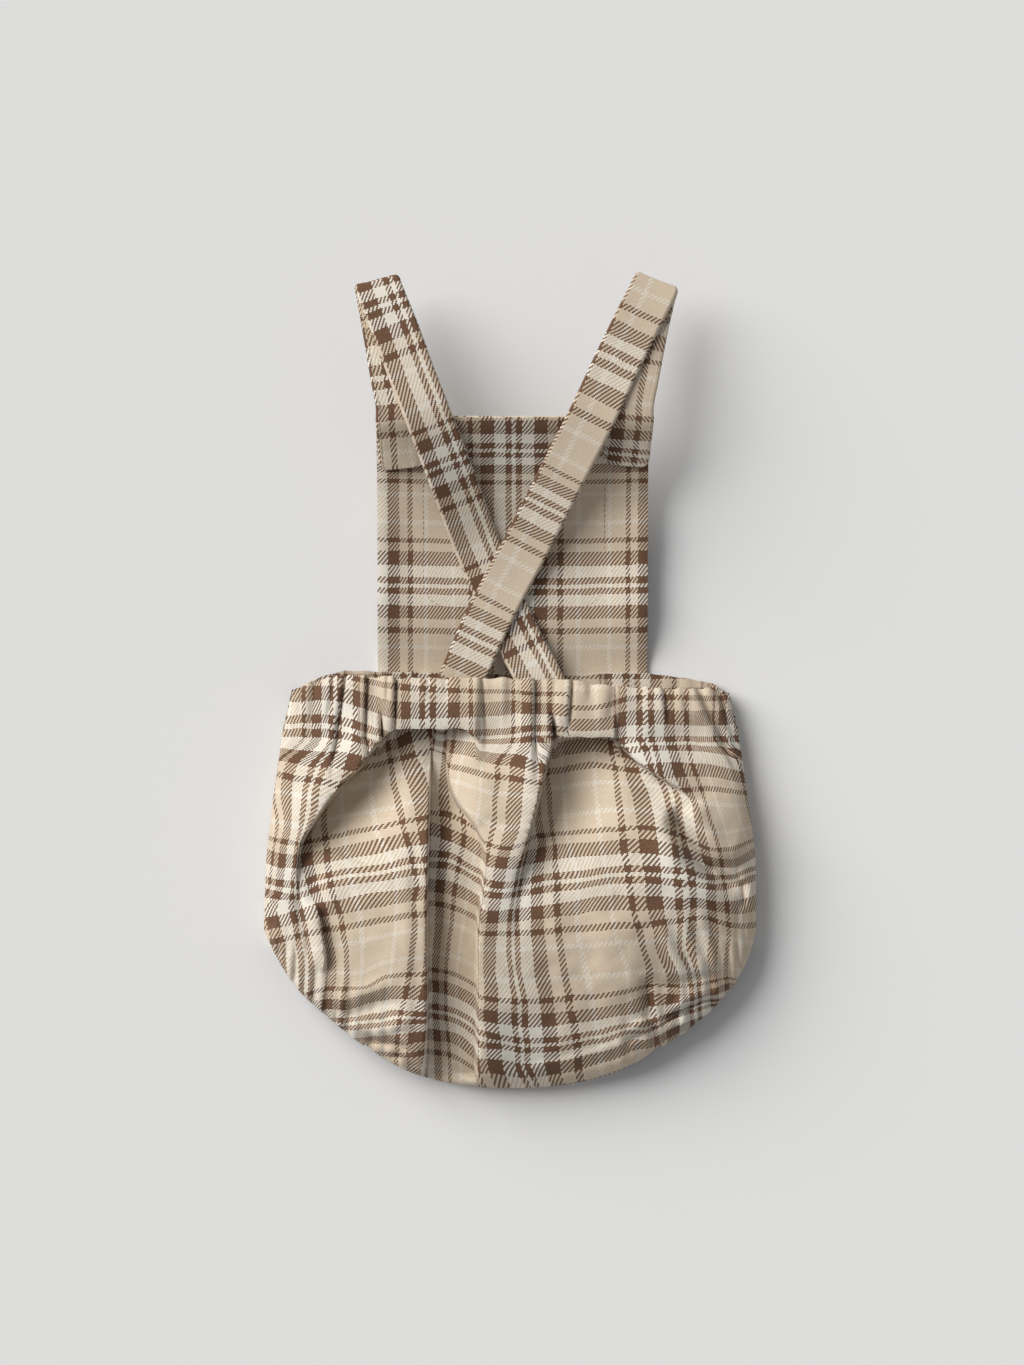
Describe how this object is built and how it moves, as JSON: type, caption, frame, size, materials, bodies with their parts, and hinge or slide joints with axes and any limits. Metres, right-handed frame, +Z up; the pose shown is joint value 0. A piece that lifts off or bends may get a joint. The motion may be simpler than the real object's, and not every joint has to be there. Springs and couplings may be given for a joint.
{
  "type": "baby bloomer romper",
  "caption": "Baby dungaree romper laid flat on its front: checked twill bloomers with gathered elastic waist and legs, a lined bib and straps that cross at the back.",
  "frame": {"origin": "middle of the garment's box, on the surface it lies on", "axes": "+Y from the bloomers to the tops of the straps, +Z up from the surface towards the garment's back, +X to the right as seen from above"},
  "size_m": [0.2722, 0.4512, 0.0469],
  "materials": {
    "check_cloth": "brushed check twill, matt",
    "button": "matt"
  },
  "bodies": {
    "root": {"back_panel": "check_cloth", "front_panel": "check_cloth", "leg_hem_back_left": "check_cloth", "leg_hem_back_right": "check_cloth", "leg_hem_front_left": "check_cloth", "leg_hem_front_right": "check_cloth", "waist_casing_back": "check_cloth", "waist_casing_front": "check_cloth", "bib_front": "check_cloth", "bib_lining": "check_cloth", "bib_pocket": "check_cloth", "strap_left": "check_cloth", "strap_right": "check_cloth", "button_left": "button", "button_right": "button"}
  },
  "joints": []
}
